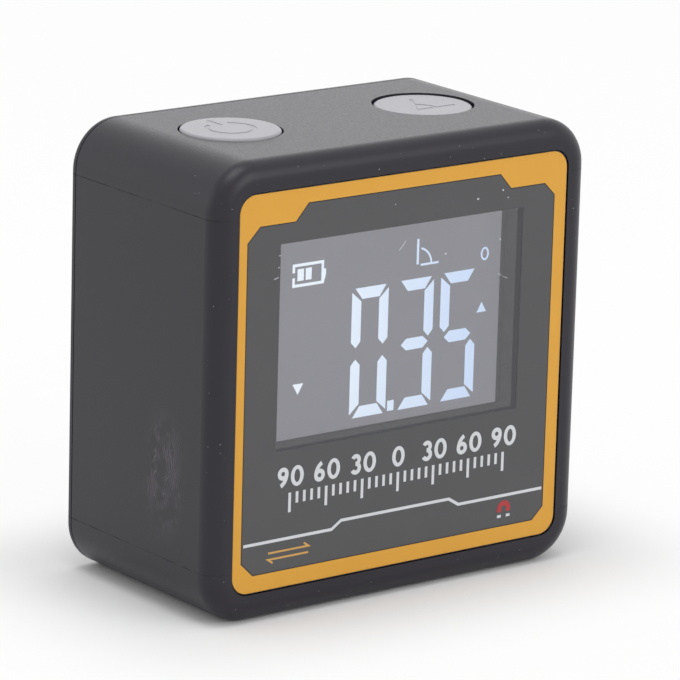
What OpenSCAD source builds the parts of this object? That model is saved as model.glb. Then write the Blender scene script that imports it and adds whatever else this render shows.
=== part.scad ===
// Digital angle gauge: a pocket box with a lit display, two push buttons and a magnetic base.
// Millimetres. The front faces -Y, +X is the viewer's right and the base stands on z = 0.

/* [Body] */
// Width of the body, left to right
body_w = 60; // [58:0.5:80]
// Height of the body
body_h = 60; // [58:0.5:80]
// Depth of the body, front rim to back face
body_d = 32; // [31:0.5:45]
// Corner radius, seen from the front
corner_r = 6.4; // [5:0.2:8]
// Round along the front edge of the rim
front_edge_r = 2.5; // [1:0.1:3]
// Round along the back edge of the cover
back_edge_r = 0.6; // [0.2:0.1:0.8]
// Wall of the body
wall = 2; // [1.6:0.1:2.4]
// Width of the groove along the cover's seam
seam_w = 0.15; // [0.1:0.05:0.4]
// Depth of that groove
seam_depth = 0.15; // [0.1:0.05:0.5]

/* [Front panel] */
// Width of the printed panel
panel_w = 52.8; // [46:0.2:53.4]
// Height of the printed panel
panel_h = 52.2; // [46:0.2:53.4]
// Corner radius of the panel
panel_corner_r = 2.4; // [1:0.2:4]
// Thickness of the panel
panel_t = 1; // [0.6:0.1:1.4]
// How far the panel's face lies below the rim
panel_sink = 0.15; // [0.1:0.05:0.8]
// Gap all round the panel in its pocket
panel_gap = 0.1; // [0.05:0.05:0.3]
// Thickness of the tape under the panel
adhesive_t = 0.2; // [0.1:0.05:0.4]
// Width of the tape
adhesive_w = 4; // [3:0.5:5]
// Front wall behind the panel
front_web = 1.4; // [1:0.1:1.8]

/* [Display] */
// Width of the clear window
window_w = 38.8; // [30:0.2:39.6]
// Height of the clear window
window_h = 27.2; // [20:0.2:29]
// Window centre above the body's centre
window_rise = 5.6; // [2:0.2:7]
// Wall opening beyond the window, each side
window_margin = 0.4; // [0.2:0.1:0.8]
// From the panel's face to the display glass
display_depth = 4.3; // [3.65:0.05:5]
// Glass beyond the window, each side
glass_rim = 2.6; // [2:0.1:2.8]
// Bottom ledge of the glass that carries the contacts
glass_ledge = 2.4; // [2:0.1:3]
// Thickness of one of the two glass plates
glass_t = 1.1; // [0.7:0.1:1.4]
// Thickness of the backlight
backlight_t = 2.9; // [2.4:0.1:3.4]
// Wall of the frame round the glass
frame_wall = 1.2; // [0.8:0.1:1.4]
// Gap round the glass in its frame
glass_gap = 0.1; // [0.05:0.05:0.2]
// Width of the zebra strip
zebra_w = 1.8; // [1.4:0.1:1.9]

/* [Buttons] */
// Diameter of the button holes
button_hole_d = 13.6; // [10:0.1:14.5]
// Radial gap round a button
button_gap = 0.25; // [0.15:0.05:0.4]
// Distance of each button from the middle
button_x = 15.6; // [12:0.2:17]
// Button centres behind the middle of the body
button_y = 1.2; // [0:0.2:2]
// Travel of a button
button_travel = 0.6; // [0.3:0.1:0.8]
// Power button's face below the top, negative where it stands proud
power_sink = -0.25; // [-0.4:0.05:0.5]
// Zero button's face below the top
zero_sink = 0.15; // [-0.4:0.05:0.5]
// Round on a button's rim
button_edge_r = 0.4; // [0.2:0.1:0.8]
// Retaining flange beyond the hole
flange_lip = 0.7; // [0.4:0.1:0.9]
// Thickness of the flange
flange_t = 1.2; // [0.8:0.1:1.6]
// Gap between the flange and the top wall
flange_gap = 0.3; // [0.2:0.05:0.5]
// Diameter of the stem
stem_d = 4; // [3:0.2:5]
// Length of the stem
stem_l = 1.9; // [1.5:0.1:2.5]
// Depth of the signs cut into the buttons
mark_depth = 0.06; // [0.05:0.01:0.3]
// Line width of those signs
mark_w = 0.55; // [0.3:0.05:0.8]
// Radius of the power sign's ring
mark_r = 3.1; // [2:0.1:4]
// Opening of that ring, in degrees
mark_gap = 56; // [30:2:90]
// Start of the power sign's bar behind the button's centre
mark_bar_y = 2; // [1:0.1:3]
// Length of that bar
mark_bar_l = 3; // [2:0.1:3.5]
// Length of an arm of the angle sign
angle_mark_l = 6.4; // [4:0.1:8]
// Angle between its arms
angle_mark = 58; // [30:2:80]
// Radius of its arc
angle_mark_r = 3.4; // [2:0.1:5]
// Corner of the angle sign to the left of the button's centre
angle_mark_x = 2.7; // [1:0.1:4]
// Corner of the angle sign in front of the button's centre
angle_mark_y = 2; // [1:0.1:3]

/* [Boards] */
// Thickness of the circuit boards
board_t = 1.6; // [1:0.1:2]
// Gap between a board and the side walls
board_gap = 0.5; // [0.3:0.1:0.8]
// Main board's lower edge above the base
board_z = 6; // [5.4:0.2:7]
// Gap between the main board and the button board
board_clear = 1; // [0.6:0.1:1.4]
// Button board beyond the switches, at the back
key_board_edge = 2; // [1:0.1:3]
// Ledge under each end of the button board
ledge_w = 2.5; // [1.5:0.1:3]
// Thickness of the ledge
ledge_t = 2; // [1.5:0.1:2]
// Width of a key switch
switch_w = 6; // [5:0.2:7]
// Height of a key switch
switch_h = 3.5; // [3:0.1:4]
// Diameter of a switch plunger
plunger_d = 3.4; // [2.4:0.1:4]
// Plunger above its switch
plunger_h = 1.5; // [1.1:0.1:2]
// Plunger length inside its switch
plunger_in = 1; // [0.6:0.1:1.4]
// Radial gap round a plunger
plunger_gap = 0.1; // [0.05:0.05:0.2]

/* [Battery] */
// Diameter of a cell
cell_d = 10.5; // [9.5:0.1:11]
// Length of a cell with its nub
cell_l = 44.5; // [40:0.5:45]
// Diameter of the nub
nub_d = 3.8; // [3:0.1:5]
// Length of the nub
nub_l = 0.9; // [0.6:0.1:1.2]
// Gap between the two cells
cell_gap = 0.7; // [0.4:0.1:1]
// Gap between a cell and the bay round it
bay_gap = 0.3; // [0.1:0.05:0.5]
// Wall of the battery bay
bay_wall = 0.8; // [0.7:0.1:1.2]
// Bay's inside above the base
bay_z = 12; // [11:0.2:13]
// Length of a compressed contact spring
spring_l = 2.8; // [2.4:0.1:3.4]
// Outer diameter of a contact spring
spring_d = 6; // [5:0.2:7]
// Wire of a contact spring
spring_wire = 0.7; // [0.5:0.05:0.9]
// Thickness of the contact plates
contact_t = 0.4; // [0.3:0.05:0.6]
// Width of a contact plate
contact_w = 9; // [7:0.2:9.4]
// Width of a contact's tail
tail_w = 2; // [1.4:0.1:3]
// Tail beyond the bay's floor
tail_out = 1; // [0.6:0.1:1.6]
// Diameter of a spring pin between board and tail
link_pin_d = 1.5; // [1:0.1:1.8]

/* [Cover and door] */
// Edge of the cover that shows behind the seam
cover_edge = 1; // [0.9:0.1:1.4]
// Plug of the cover inside the body
plug_t = 1.4; // [1.2:0.1:2]
// Gap round the plug
plug_gap = 0.15; // [0.05:0.05:0.3]
// Thickness of the battery door
door_t = 1.6; // [1.2:0.1:2]
// Ledge that the door rests on
door_ledge = 1; // [0.6:0.1:1.4]
// Gap round the door
door_gap = 0.3; // [0.2:0.05:0.4]
// Grip grooves on the door
grip_count = 5; // [3:1:7]
// Width of a grip groove
grip_w = 0.8; // [0.5:0.1:1]
// Depth of a grip groove
grip_depth = 0.4; // [0.2:0.1:0.6]
// Length of the longest grip groove
grip_l = 12; // [8:0.5:16]

/* [Fasteners] */
// Cover screws from the outer sides
screw_inset = 6; // [5.8:0.1:6.4]
// Diameter of a cover screw
screw_d = 2.2; // [1.8:0.1:2.6]
// Length of a cover screw under its head
screw_l = 5; // [4:0.2:5.2]
// Diameter of a cover screw's head
head_d = 4.2; // [3.6:0.1:4.4]
// Height of a cover screw's head
head_t = 1.2; // [0.8:0.1:1.4]
// Cover screw's head below the back face
head_sink = 0.2; // [0.1:0.05:0.4]
// Diameter of a screw boss
boss_d = 6; // [5:0.2:6.4]
// Length of a screw boss
boss_l = 4.6; // [4:0.1:4.8]
// Thickness of the ribs that carry a boss
rib_t = 1.6; // [1.2:0.1:2]
// Diameter of a board post
post_d = 3.8; // [3.2:0.1:3.9]
// Board posts above the base
post_low_z = 8.6; // [8:0.1:9.4]
// Hooks that hold the main board, below its top
hook_drop = 5.6; // [5:0.1:6.4]
// Height of a hook
hook_h = 3; // [2:0.2:3.4]
// Thickness of a hook
hook_t = 1; // [0.6:0.1:1]
// Grip of a hook on the main board's edge
hook_grip = 0.5; // [0.3:0.1:0.8]
// Diameter of a board screw
board_screw_d = 1.7; // [1.4:0.1:2]
// Length of a board screw under its head
board_screw_l = 5; // [4:0.2:6]
// Diameter of a board screw's head
board_head_d = 3.4; // [2.6:0.1:3.6]
// Height of a board screw's head
board_head_t = 1.2; // [0.8:0.1:1.6]
// Radial gap round every screw
screw_gap = 0.02; // [0.01:0.01:0.05]

/* [Base magnets] */
// Diameter of a magnet
magnet_d = 8; // [6:0.5:10]
// Thickness of a magnet
magnet_t = 3; // [2:0.1:3.4]
// Magnet's face above the base plane
magnet_sink = 0.2; // [0.1:0.05:0.4]
// Radial gap round a magnet
magnet_gap = 0.05; // [0.02:0.01:0.1]
// Roof of a magnet pocket
magnet_roof = 1.2; // [1:0.1:1.4]
// Wall of a magnet pocket
magnet_wall = 1.2; // [0.8:0.1:1.4]
// Magnet centres to each side
magnet_x = 14; // [10:0.5:15]
// Magnet centres to front and back
magnet_y = 6.5; // [6:0.5:7]

/* [Board parts] */
// Width of the controller chip
chip_w = 9; // [7:0.5:10]
// Height of the controller chip
chip_h = 1.4; // [1:0.1:2]
// Leads on each side of the controller chip
chip_leads = 8; // [4:1:10]
// Length of a lead
lead_l = 1; // [0.6:0.1:1.4]
// Width of the tilt sensor
tilt_w = 5.6; // [4:0.2:7]
// Height of the tilt sensor
tilt_h = 1.8; // [1:0.1:2.4]
// Width of the radio module
radio_w = 16; // [12:0.5:18]
// Height of the radio module along the board
radio_l = 10; // [8:0.5:10.5]
// Thickness of the radio module's board
radio_t = 0.8; // [0.6:0.1:1]
// Height of the radio's shield
shield_h = 1.8; // [1.2:0.1:2.4]
// Border of the radio module left bare by the shield
shield_edge = 1; // [0.6:0.1:1.4]
// Bare end of the radio module, with the antenna
antenna_w = 4; // [3:0.2:5]
// Length of the timing crystal
crystal_l = 8; // [6:0.2:10]
// Width of the timing crystal
crystal_w = 3; // [2:0.1:3.6]
// Height of the timing crystal
crystal_h = 2.4; // [1.4:0.1:3]
// Width of the power inductor
coil_w = 6; // [4:0.5:7]
// Height of the power inductor
coil_h = 2.8; // [2:0.1:3.6]
// Diameter of the filter capacitor
cap_d = 4; // [3:0.2:5]
// Height of the filter capacitor
cap_h = 3.4; // [2.6:0.1:4]
// Diameter of the buzzer
buzzer_d = 9; // [7:0.5:10]
// Height of the buzzer
buzzer_h = 3.4; // [2.5:0.1:4]
// Pins of the link between the boards
header_pins = 6; // [4:1:8]
// Pitch of the link's pins
header_pitch = 2.54; // [2:0.01:2.54]
// Side of a link pin
header_pin = 0.6; // [0.4:0.05:0.7]

/* [Hidden] */
$fn = 64;
over = 1;
sides = [-1, 1];

front_y = -body_d / 2;
back_y = body_d / 2;
mid_z = body_h / 2;
mid_y = 0;
seam_y = back_y - cover_edge;
plug_y = seam_y - plug_t;
inner_w = body_w - 2 * wall;
inner_h = body_h - 2 * wall;
inner_r = corner_r - wall;
inner_x = inner_w / 2;

panel_y = front_y + panel_sink;
panel_back = panel_y + panel_t;
pocket_y = panel_back + adhesive_t;
inner_y = pocket_y + front_web;
window_z = mid_z + window_rise;
opening_w = window_w + 2 * window_margin;
opening_h = window_h + 2 * window_margin;

glass_y = panel_y + display_depth;
glass_back = glass_y + 2 * glass_t;
board_y = glass_back + backlight_t;
board_back = board_y + board_t;
glass_w = window_w + 2 * glass_rim;
glass_top = window_z + window_h / 2 + glass_rim;
rear_glass_z = window_z - window_h / 2 - glass_rim;
glass_z = rear_glass_z - glass_ledge;
board_w = inner_w - 2 * board_gap;

button_d = button_hole_d - 2 * button_gap;
flange_d = button_hole_d + 2 * flange_lip;
flange_z = body_h - wall - flange_gap - flange_t;
plunger_top = flange_z - stem_l;
switch_top = plunger_top - plunger_h;
key_board_top = switch_top - switch_h;
key_board_z = key_board_top - board_t;
key_board_y = board_back + board_clear;
key_board_d = button_y + switch_w / 2 + key_board_edge - key_board_y;
board_h = key_board_top - board_z;
hook_z = key_board_top - hook_drop;
plunger_hole_d = plunger_d + 2 * plunger_gap;
plunger_hole_h = plunger_in + button_travel + flange_gap;

cell_y = back_y - door_t - bay_gap - cell_d / 2;
bay_y = cell_y - cell_d / 2 - bay_gap;
bay_front = bay_y - bay_wall;
bay_w = cell_l + spring_l + 2 * contact_t;
bay_h = 2 * cell_d + cell_gap + 2 * bay_gap;
bay_x = bay_w / 2;
low_cell_z = bay_z + bay_gap + cell_d / 2;
high_cell_z = low_cell_z + cell_d + cell_gap;
bay_mid_z = bay_z + bay_h / 2;
plate_x = bay_x - contact_t;
tail_y = bay_front - tail_out;
tail_gap = 0.1;
door_w = bay_w + 2 * door_ledge;
door_h = bay_h + 2 * door_ledge;

screw_x = body_w / 2 - screw_inset;
screw_zs = [screw_inset, body_h - screw_inset];
head_y = back_y - head_sink - head_t;
head_gap = 0.15;
boss_y = plug_y - boss_l;
pilot_end = 0.3;
post_side = 0.25;
post_x = inner_x - post_d / 2 - post_side;
hook_w = board_gap + hook_grip;
recess_w = 0.5;
recess_depth = 0.6;

magnet_top = magnet_sink + magnet_t;
part_x = 13;
lead_w = 0.3;
lead_t = 0.2;
header_block = header_pitch;
header_z = key_board_z - header_block;
row_pitch = (header_z - header_block / 2 - board_z) / 3;
part_low_z = board_z + row_pitch / 2;
part_mid_z = part_low_z + row_pitch;
part_high_z = part_mid_z + row_pitch;

// Local z runs to the back from y0, about the middle of the front.
module to_back(y0) {
    translate([0, y0, mid_z]) rotate([-90, 0, 0]) children();
}

// A box given by its middle in x and z, its front face and its size.
module box_at(x, y0, z, size) {
    translate([x - size[0] / 2, y0, z - size[2] / 2]) cube(size);
}

// A cylinder along +Y from y0.
module rod_y(x, y0, z, d, l) {
    translate([x, y0, z]) rotate([-90, 0, 0]) cylinder(d = d, h = l);
}

// Flat rectangle with round corners.
module rounded_rect(w, h, r) {
    square([w - 2 * r, h], center = true);
    square([w, h - 2 * r], center = true);
    for (sx = sides, sy = sides) translate([sx * (w / 2 - r), sy * (h / 2 - r)]) circle(r);
}

// Section of an edge: w wide and d deep, with its two corners at y = 0 rounded by f.
module lip_section(w, d, f) {
    intersection() {
        union() {
            translate([-w / 2, f]) square([w, d - f]);
            translate([f - w / 2, 0]) square([w - 2 * f, d]);
            for (s = sides) translate([s * (w / 2 - f), f]) circle(f);
        }
        translate([-w / 2, 0]) square([w, d]);
    }
}

// Half of that section, for turning about y.
module lip_half(r, d, f) {
    intersection() {
        union() {
            translate([0, f]) square([r, d - f]);
            square([r - f, d]);
            translate([r - f, f]) circle(f);
        }
        square([r, d]);
    }
}

// Block with round corners whose edge at z = 0 is rounded by f.
module lipped_block(w, h, d, r, f) {
    rotate([90, 0, 90]) linear_extrude(w - 2 * r, center = true) lip_section(h, d, f);
    rotate([90, 0, 0]) linear_extrude(h - 2 * r, center = true) lip_section(w, d, f);
    for (sx = sides, sy = sides)
        translate([sx * (w / 2 - r), sy * (h / 2 - r), 0])
            rotate([0, 0, sy > 0 ? (sx > 0 ? 0 : 90) : (sx > 0 ? 270 : 180)])
                rotate_extrude(angle = 90) lip_half(r, d, f);
}

module at_screws() {
    for (sx = sides, z = screw_zs) translate([sx * screw_x, 0, z]) children();
}

module at_posts() {
    for (sx = sides) translate([sx * post_x, 0, post_low_z]) children();
}

module at_magnets() {
    for (sx = sides, sy = sides) translate([sx * magnet_x, sy * magnet_y, 0]) children();
}

// Screw along -Y: its head starts at y0 and the shank runs to the front.
module screw_at(y0, d, l, hd, ht) {
    difference() {
        union() {
            rod_y(0, y0, 0, hd, ht);
            rod_y(0, y0 - l, 0, d, l + ht / 2);
        }
        box_at(0, y0 + ht - recess_depth, 0, [hd * 0.6, over, recess_w]);
        box_at(0, y0 + ht - recess_depth, 0, [recess_w, over, hd * 0.6]);
    }
}

module boss_ribs() {
    for (sx = sides, z = screw_zs) {
        edge_z = z < mid_z ? wall / 2 : body_h - wall / 2;
        box_at(sx * (screw_x + inner_x + wall / 2) / 2, boss_y, z,
            [inner_x + wall / 2 - screw_x, boss_l, rib_t]);
        box_at(sx * screw_x, boss_y, (z + edge_z) / 2, [rib_t, boss_l, abs(z - edge_z)]);
    }
}

module body_shell() {
    color("#2a2a2c") difference() {
        union() {
            difference() {
                union() {
                    to_back(front_y)
                        lipped_block(body_w, body_h, seam_y - seam_w - front_y, corner_r, front_edge_r);
                    to_back(mid_y) linear_extrude(seam_y - mid_y)
                        rounded_rect(body_w - 2 * seam_depth, body_h - 2 * seam_depth, corner_r - seam_depth);
                }
                to_back(inner_y) linear_extrude(body_d) rounded_rect(inner_w, inner_h, inner_r);
            }
            at_screws() rod_y(0, boss_y, 0, boss_d, boss_l);
            boss_ribs();
            at_posts() rod_y(0, inner_y - front_web / 2, 0, post_d, board_y - inner_y + front_web / 2);
            at_magnets() translate([0, 0, wall / 2])
                cylinder(d = magnet_d + 2 * magnet_wall, h = magnet_top + magnet_roof - wall / 2);
            for (s = sides) {
                box_at(s * (inner_x - (ledge_w - wall / 2) / 2), key_board_y, key_board_z - ledge_t / 2,
                    [ledge_w + wall / 2, key_board_d, ledge_t]);
                box_at(s * (inner_x - (hook_w - wall / 2) / 2), board_back, hook_z,
                    [hook_w + wall / 2, hook_t, hook_h]);
            }
        }
        to_back(front_y - over) linear_extrude(pocket_y - front_y + over)
            rounded_rect(panel_w + 2 * panel_gap, panel_h + 2 * panel_gap, panel_corner_r + panel_gap);
        box_at(0, pocket_y - over, window_z, [opening_w, front_web + 2 * over, opening_h]);
        for (s = sides) translate([s * button_x, button_y, body_h - wall - over])
            cylinder(d = button_hole_d, h = wall + 2 * over);
        at_screws() rod_y(0, head_y - screw_l - pilot_end, 0, screw_d + 2 * screw_gap, body_d);
        at_posts() rod_y(0, board_back - board_screw_l - pilot_end, 0,
            board_screw_d + 2 * screw_gap, body_d / 2);
        at_magnets() translate([0, 0, -over])
            cylinder(d = magnet_d + 2 * magnet_gap, h = magnet_top + over);
    }
}

module back_cover() {
    color("#2f2f31") difference() {
        union() {
            translate([0, back_y, mid_z]) rotate([90, 0, 0])
                lipped_block(body_w, body_h, cover_edge, corner_r, back_edge_r);
            to_back(plug_y) linear_extrude(plug_t + cover_edge / 2)
                rounded_rect(inner_w - 2 * plug_gap, inner_h - 2 * plug_gap, inner_r - plug_gap);
            box_at(0, bay_front, bay_mid_z,
                [bay_w + 2 * bay_wall, seam_y - bay_front, bay_h + 2 * bay_wall]);
        }
        box_at(0, bay_y, bay_mid_z, [bay_w, body_d, bay_h]);
        box_at(0, back_y - door_t, bay_mid_z, [door_w + 2 * door_gap, door_t + over, door_h + 2 * door_gap]);
        for (z = [low_cell_z, high_cell_z])
            box_at(contact_t / 2 - bay_x, bay_front - over, z,
                [contact_t + 2 * tail_gap, bay_wall + 2 * over, tail_w + 2 * tail_gap]);
        at_screws() rod_y(0, head_y, 0, head_d + 2 * head_gap, body_d);
        at_screws() rod_y(0, plug_y - over, 0, screw_d + 2 * screw_gap, body_d);
    }
}

module battery_door() {
    color("#2f2f31") difference() {
        box_at(0, back_y - door_t, bay_mid_z, [door_w, door_t, door_h]);
        for (i = [0:grip_count - 1])
            box_at(0, back_y - grip_depth, bay_mid_z + door_h / 2 - (2 * i + 2) * grip_w,
                [grip_l * (1 - i / (2 * grip_count)), grip_depth + over, grip_w]);
    }
}

module cover_screws() {
    color("#4a4a4c") at_screws() screw_at(head_y, screw_d, screw_l, head_d, head_t);
}

module front_panel() {
    color("#dda646") to_back(panel_y) linear_extrude(panel_t)
        rounded_rect(panel_w, panel_h, panel_corner_r);
}

module panel_adhesive() {
    color("#e8e8e4") difference() {
        to_back(panel_back) linear_extrude(adhesive_t) rounded_rect(panel_w, panel_h, panel_corner_r);
        box_at(0, panel_back - over, mid_z,
            [panel_w - 2 * adhesive_w, adhesive_t + 2 * over, panel_h - 2 * adhesive_w]);
    }
}

module display_frame() {
    frame_w = glass_w + 2 * glass_gap;
    frame_h = glass_top - glass_z + 2 * glass_gap;
    glass_mid_z = (glass_top + glass_z) / 2;
    color("#1c1c1e") difference() {
        box_at(0, inner_y, glass_mid_z,
            [frame_w + 2 * frame_wall, board_y - inner_y, frame_h + 2 * frame_wall]);
        box_at(0, inner_y - over, window_z, [opening_w, body_d, opening_h]);
        box_at(0, glass_y, glass_mid_z, [frame_w, body_d, frame_h]);
    }
}

module lcd_glass() {
    color("#8f8e93") {
        box_at(0, glass_y, (glass_top + glass_z) / 2, [glass_w, glass_t, glass_top - glass_z]);
        box_at(0, glass_y + glass_t / 2, (glass_top + rear_glass_z) / 2,
            [glass_w, glass_back - glass_y - glass_t / 2, glass_top - rear_glass_z]);
    }
}

module backlight() {
    light_z = rear_glass_z + glass_rim / 2;
    light_top = glass_top - glass_rim / 2;
    color("#f2f2ee") box_at(0, glass_back, (light_z + light_top) / 2,
        [glass_w - glass_rim, backlight_t, light_top - light_z]);
}

module zebra_strip() {
    color("#d9a7b0") box_at(0, glass_y + glass_t, (glass_z + rear_glass_z) / 2,
        [window_w, board_y - glass_y - glass_t, zebra_w]);
}

module main_board() {
    color("#1f6b3a") difference() {
        box_at(0, board_y, board_z + board_h / 2, [board_w, board_t, board_h]);
        at_posts() rod_y(0, board_y - over, 0, board_screw_d + 2 * screw_gap, board_t + 2 * over);
    }
}

module board_screws() {
    color("#c9c9c6") at_posts()
        screw_at(board_back, board_screw_d, board_screw_l, board_head_d, board_head_t);
}

module controller_chip() {
    lead_pitch = (chip_w - 1) / chip_leads;
    color("#252527") {
        box_at(0, board_back, part_mid_z, [chip_w, chip_h, chip_w]);
        for (i = [0:chip_leads - 1], a = [0, 90])
            translate([0, 0, part_mid_z]) rotate([0, a, 0])
                box_at((i - (chip_leads - 1) / 2) * lead_pitch, board_back, 0,
                    [lead_w, lead_t, chip_w + 2 * lead_l]);
    }
}

module tilt_sensor() {
    color("#c8a860") box_at(part_x, board_back, part_mid_z, [tilt_w, tilt_h, tilt_w]);
}

module radio_module() {
    color("#1d4f7a") box_at(-part_x, board_back, part_high_z, [radio_w, radio_t, radio_l]);
}

module radio_shield() {
    color("#c4c6c8") box_at(antenna_w / 2 - part_x, board_back + radio_t, part_high_z,
        [radio_w - antenna_w - 2 * shield_edge, shield_h, radio_l - 2 * shield_edge]);
}

module timing_crystal() {
    run = crystal_l - crystal_w;
    color("#d2d3d4") {
        box_at(-part_x, board_back, part_mid_z, [run, crystal_h, crystal_w]);
        for (s = sides) rod_y(s * run / 2 - part_x, board_back, part_mid_z, crystal_w, crystal_h);
    }
}

module power_inductor() {
    color("#47474a") box_at(-part_x, board_back, part_low_z, [coil_w, coil_h, coil_w]);
}

module filter_capacitor() {
    color("#b9bbbe") rod_y(part_x, board_back, part_low_z, cap_d, cap_h);
}

module buzzer() {
    color("#1a1a1b") difference() {
        rod_y(part_x, board_back, part_high_z, buzzer_d, buzzer_h);
        rod_y(part_x, board_back + buzzer_h / 2, part_high_z, buzzer_d / 5, buzzer_h);
    }
}

module button_board() {
    color("#1f6b3a") box_at(0, key_board_y, key_board_z + board_t / 2, [board_w, key_board_d, board_t]);
}

module board_link_header() {
    pin_end = key_board_y + header_block;
    color("#1b1b1c") {
        box_at(0, board_back, header_z, [header_pins * header_pitch, header_block / 2, header_block / 2]);
        for (i = [0:header_pins - 1]) {
            x = (i - (header_pins - 1) / 2) * header_pitch;
            box_at(x, board_back, header_z, [header_pin, pin_end - board_back, header_pin]);
            box_at(x, pin_end - header_pin, (header_z + key_board_z - header_pin / 2) / 2,
                [header_pin, header_pin, key_board_z - header_z + header_pin / 2]);
        }
    }
}

module key_switch(x) {
    color("#2c2c2e") difference() {
        translate([x - switch_w / 2, button_y - switch_w / 2, key_board_top])
            cube([switch_w, switch_w, switch_h]);
        translate([x, button_y, switch_top - plunger_hole_h])
            cylinder(d = plunger_hole_d, h = plunger_hole_h + over);
    }
}

module key_plunger(x) {
    color("#d8d4c8") translate([x, button_y, switch_top - plunger_in])
        cylinder(d = plunger_d, h = plunger_in + plunger_h);
}

// A button whose sign, the child, is cut into its face.
module push_button(x, sink) {
    cap_h = body_h - sink - flange_z - flange_t / 2;
    color("#c8c7cd") translate([x, button_y, 0]) difference() {
        union() {
            translate([0, 0, body_h - sink]) rotate([180, 0, 0])
                rotate_extrude() lip_half(button_d / 2, cap_h, button_edge_r);
            translate([0, 0, flange_z]) cylinder(d = flange_d, h = flange_t);
            translate([0, 0, plunger_top]) cylinder(d = stem_d, h = stem_l + flange_t / 2);
        }
        translate([0, 0, body_h - sink - mark_depth]) children();
    }
}

// Part of a ring as a groove, from one angle over a sweep.
module groove_arc(r, start, sweep) {
    rotate([0, 0, start]) rotate_extrude(angle = sweep)
        translate([r - mark_w / 2, 0]) square([mark_w, mark_depth + over]);
}

module power_mark() {
    groove_arc(mark_r, 90 + mark_gap / 2, 360 - mark_gap);
    translate([-mark_w / 2, mark_bar_y, 0]) cube([mark_w, mark_bar_l, mark_depth + over]);
}

module angle_sign() {
    translate([-angle_mark_x, -angle_mark_y, 0]) {
        for (a = [0, angle_mark]) rotate([0, 0, a])
            translate([0, -mark_w / 2, 0]) cube([angle_mark_l, mark_w, mark_depth + over]);
        groove_arc(angle_mark_r, 0, angle_mark);
    }
}

module power_switch() { key_switch(-button_x); }

module zero_switch() { key_switch(button_x); }

module power_plunger() { key_plunger(-button_x); }

module zero_plunger() { key_plunger(button_x); }

module power_button() { push_button(-button_x, power_sink) power_mark(); }

module zero_button() { push_button(button_x, zero_sink) angle_sign(); }

// A cell along X whose nub ends at x_nub and points to dir.
module cell_at(x_nub, dir, z) {
    translate([x_nub, cell_y, z]) rotate([0, -90 * dir, 0]) {
        cylinder(d = nub_d, h = nub_l + over);
        translate([0, 0, nub_l]) cylinder(d = cell_d, h = cell_l - nub_l);
    }
}

module upper_cell() {
    color("#3f7f4c") cell_at(-plate_x, -1, high_cell_z);
}

module lower_cell() {
    color("#3f7f4c") cell_at(plate_x, 1, low_cell_z);
}

// Contact plate at the left end of the bay, with its tail through the bay's floor.
module left_contact(z) {
    color("#d6d3c6") {
        box_at(contact_t / 2 - bay_x, bay_y, z, [contact_t, cell_y + contact_w / 2 - bay_y, contact_w]);
        box_at(contact_t / 2 - bay_x, tail_y, z, [contact_t, bay_y - tail_y + over, tail_w]);
    }
}

module positive_contact() { left_contact(high_cell_z); }

module negative_contact() { left_contact(low_cell_z); }

module link_contact() {
    color("#d6d3c6") box_at(bay_x - contact_t / 2, bay_y, (low_cell_z + high_cell_z) / 2,
        [contact_t, cell_y + contact_w / 2 - bay_y, high_cell_z - low_cell_z + contact_w]);
}

module contact_spring() {
    turns = 3;
    linear_extrude(spring_l, twist = 360 * turns, slices = 20 * turns, $fn = 10)
        translate([(spring_d - spring_wire) / 2, 0]) circle(d = spring_wire);
}

module contact_springs() {
    color("#cfcfc8") {
        translate([-plate_x, cell_y, low_cell_z]) rotate([0, 90, 0]) contact_spring();
        translate([plate_x, cell_y, high_cell_z]) rotate([0, -90, 0]) contact_spring();
    }
}

module battery_link_pins() {
    color("#d9b765") for (z = [low_cell_z, high_cell_z])
        rod_y(contact_t / 2 - bay_x, board_back, z, link_pin_d, tail_y - board_back);
}

module base_magnets() {
    color("#b4b6b8") at_magnets() translate([0, 0, magnet_sink]) cylinder(d = magnet_d, h = magnet_t);
}

body_shell();
back_cover();
battery_door();
cover_screws();
front_panel();
panel_adhesive();
display_frame();
lcd_glass();
backlight();
zebra_strip();
main_board();
board_screws();
controller_chip();
tilt_sensor();
radio_module();
radio_shield();
timing_crystal();
power_inductor();
filter_capacitor();
buzzer();
button_board();
board_link_header();
power_switch();
zero_switch();
power_plunger();
zero_plunger();
power_button();
zero_button();
upper_cell();
lower_cell();
positive_contact();
negative_contact();
link_contact();
contact_springs();
battery_link_pins();
base_magnets();
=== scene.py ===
import math

import bmesh
import bpy
from mathutils import Matrix, Vector
from mathutils.geometry import delaunay_2d_cdt


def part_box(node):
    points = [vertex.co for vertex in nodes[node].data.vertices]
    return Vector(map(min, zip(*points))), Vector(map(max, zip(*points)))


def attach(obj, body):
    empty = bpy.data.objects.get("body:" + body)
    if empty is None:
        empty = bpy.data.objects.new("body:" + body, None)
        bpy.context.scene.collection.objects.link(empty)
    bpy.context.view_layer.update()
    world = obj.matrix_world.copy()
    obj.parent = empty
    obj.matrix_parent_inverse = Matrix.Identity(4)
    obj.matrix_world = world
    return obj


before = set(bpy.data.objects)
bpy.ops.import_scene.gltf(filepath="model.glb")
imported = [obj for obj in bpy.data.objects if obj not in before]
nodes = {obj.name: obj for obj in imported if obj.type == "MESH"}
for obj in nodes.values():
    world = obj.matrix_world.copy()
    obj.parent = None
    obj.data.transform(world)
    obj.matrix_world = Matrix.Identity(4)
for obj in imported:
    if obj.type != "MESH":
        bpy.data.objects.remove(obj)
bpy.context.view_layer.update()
scene = bpy.context.scene
scene.view_settings.view_transform = "Standard"
mm = 0.001
midZ = 30  # height of the body's centre in mm
noiseSpan = (0.3, 0.7)  # most values of a noise texture lie in here
print("frame loaded:", len(nodes), "nodes")


# Small helpers for node trees, colours and flat pieces

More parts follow.
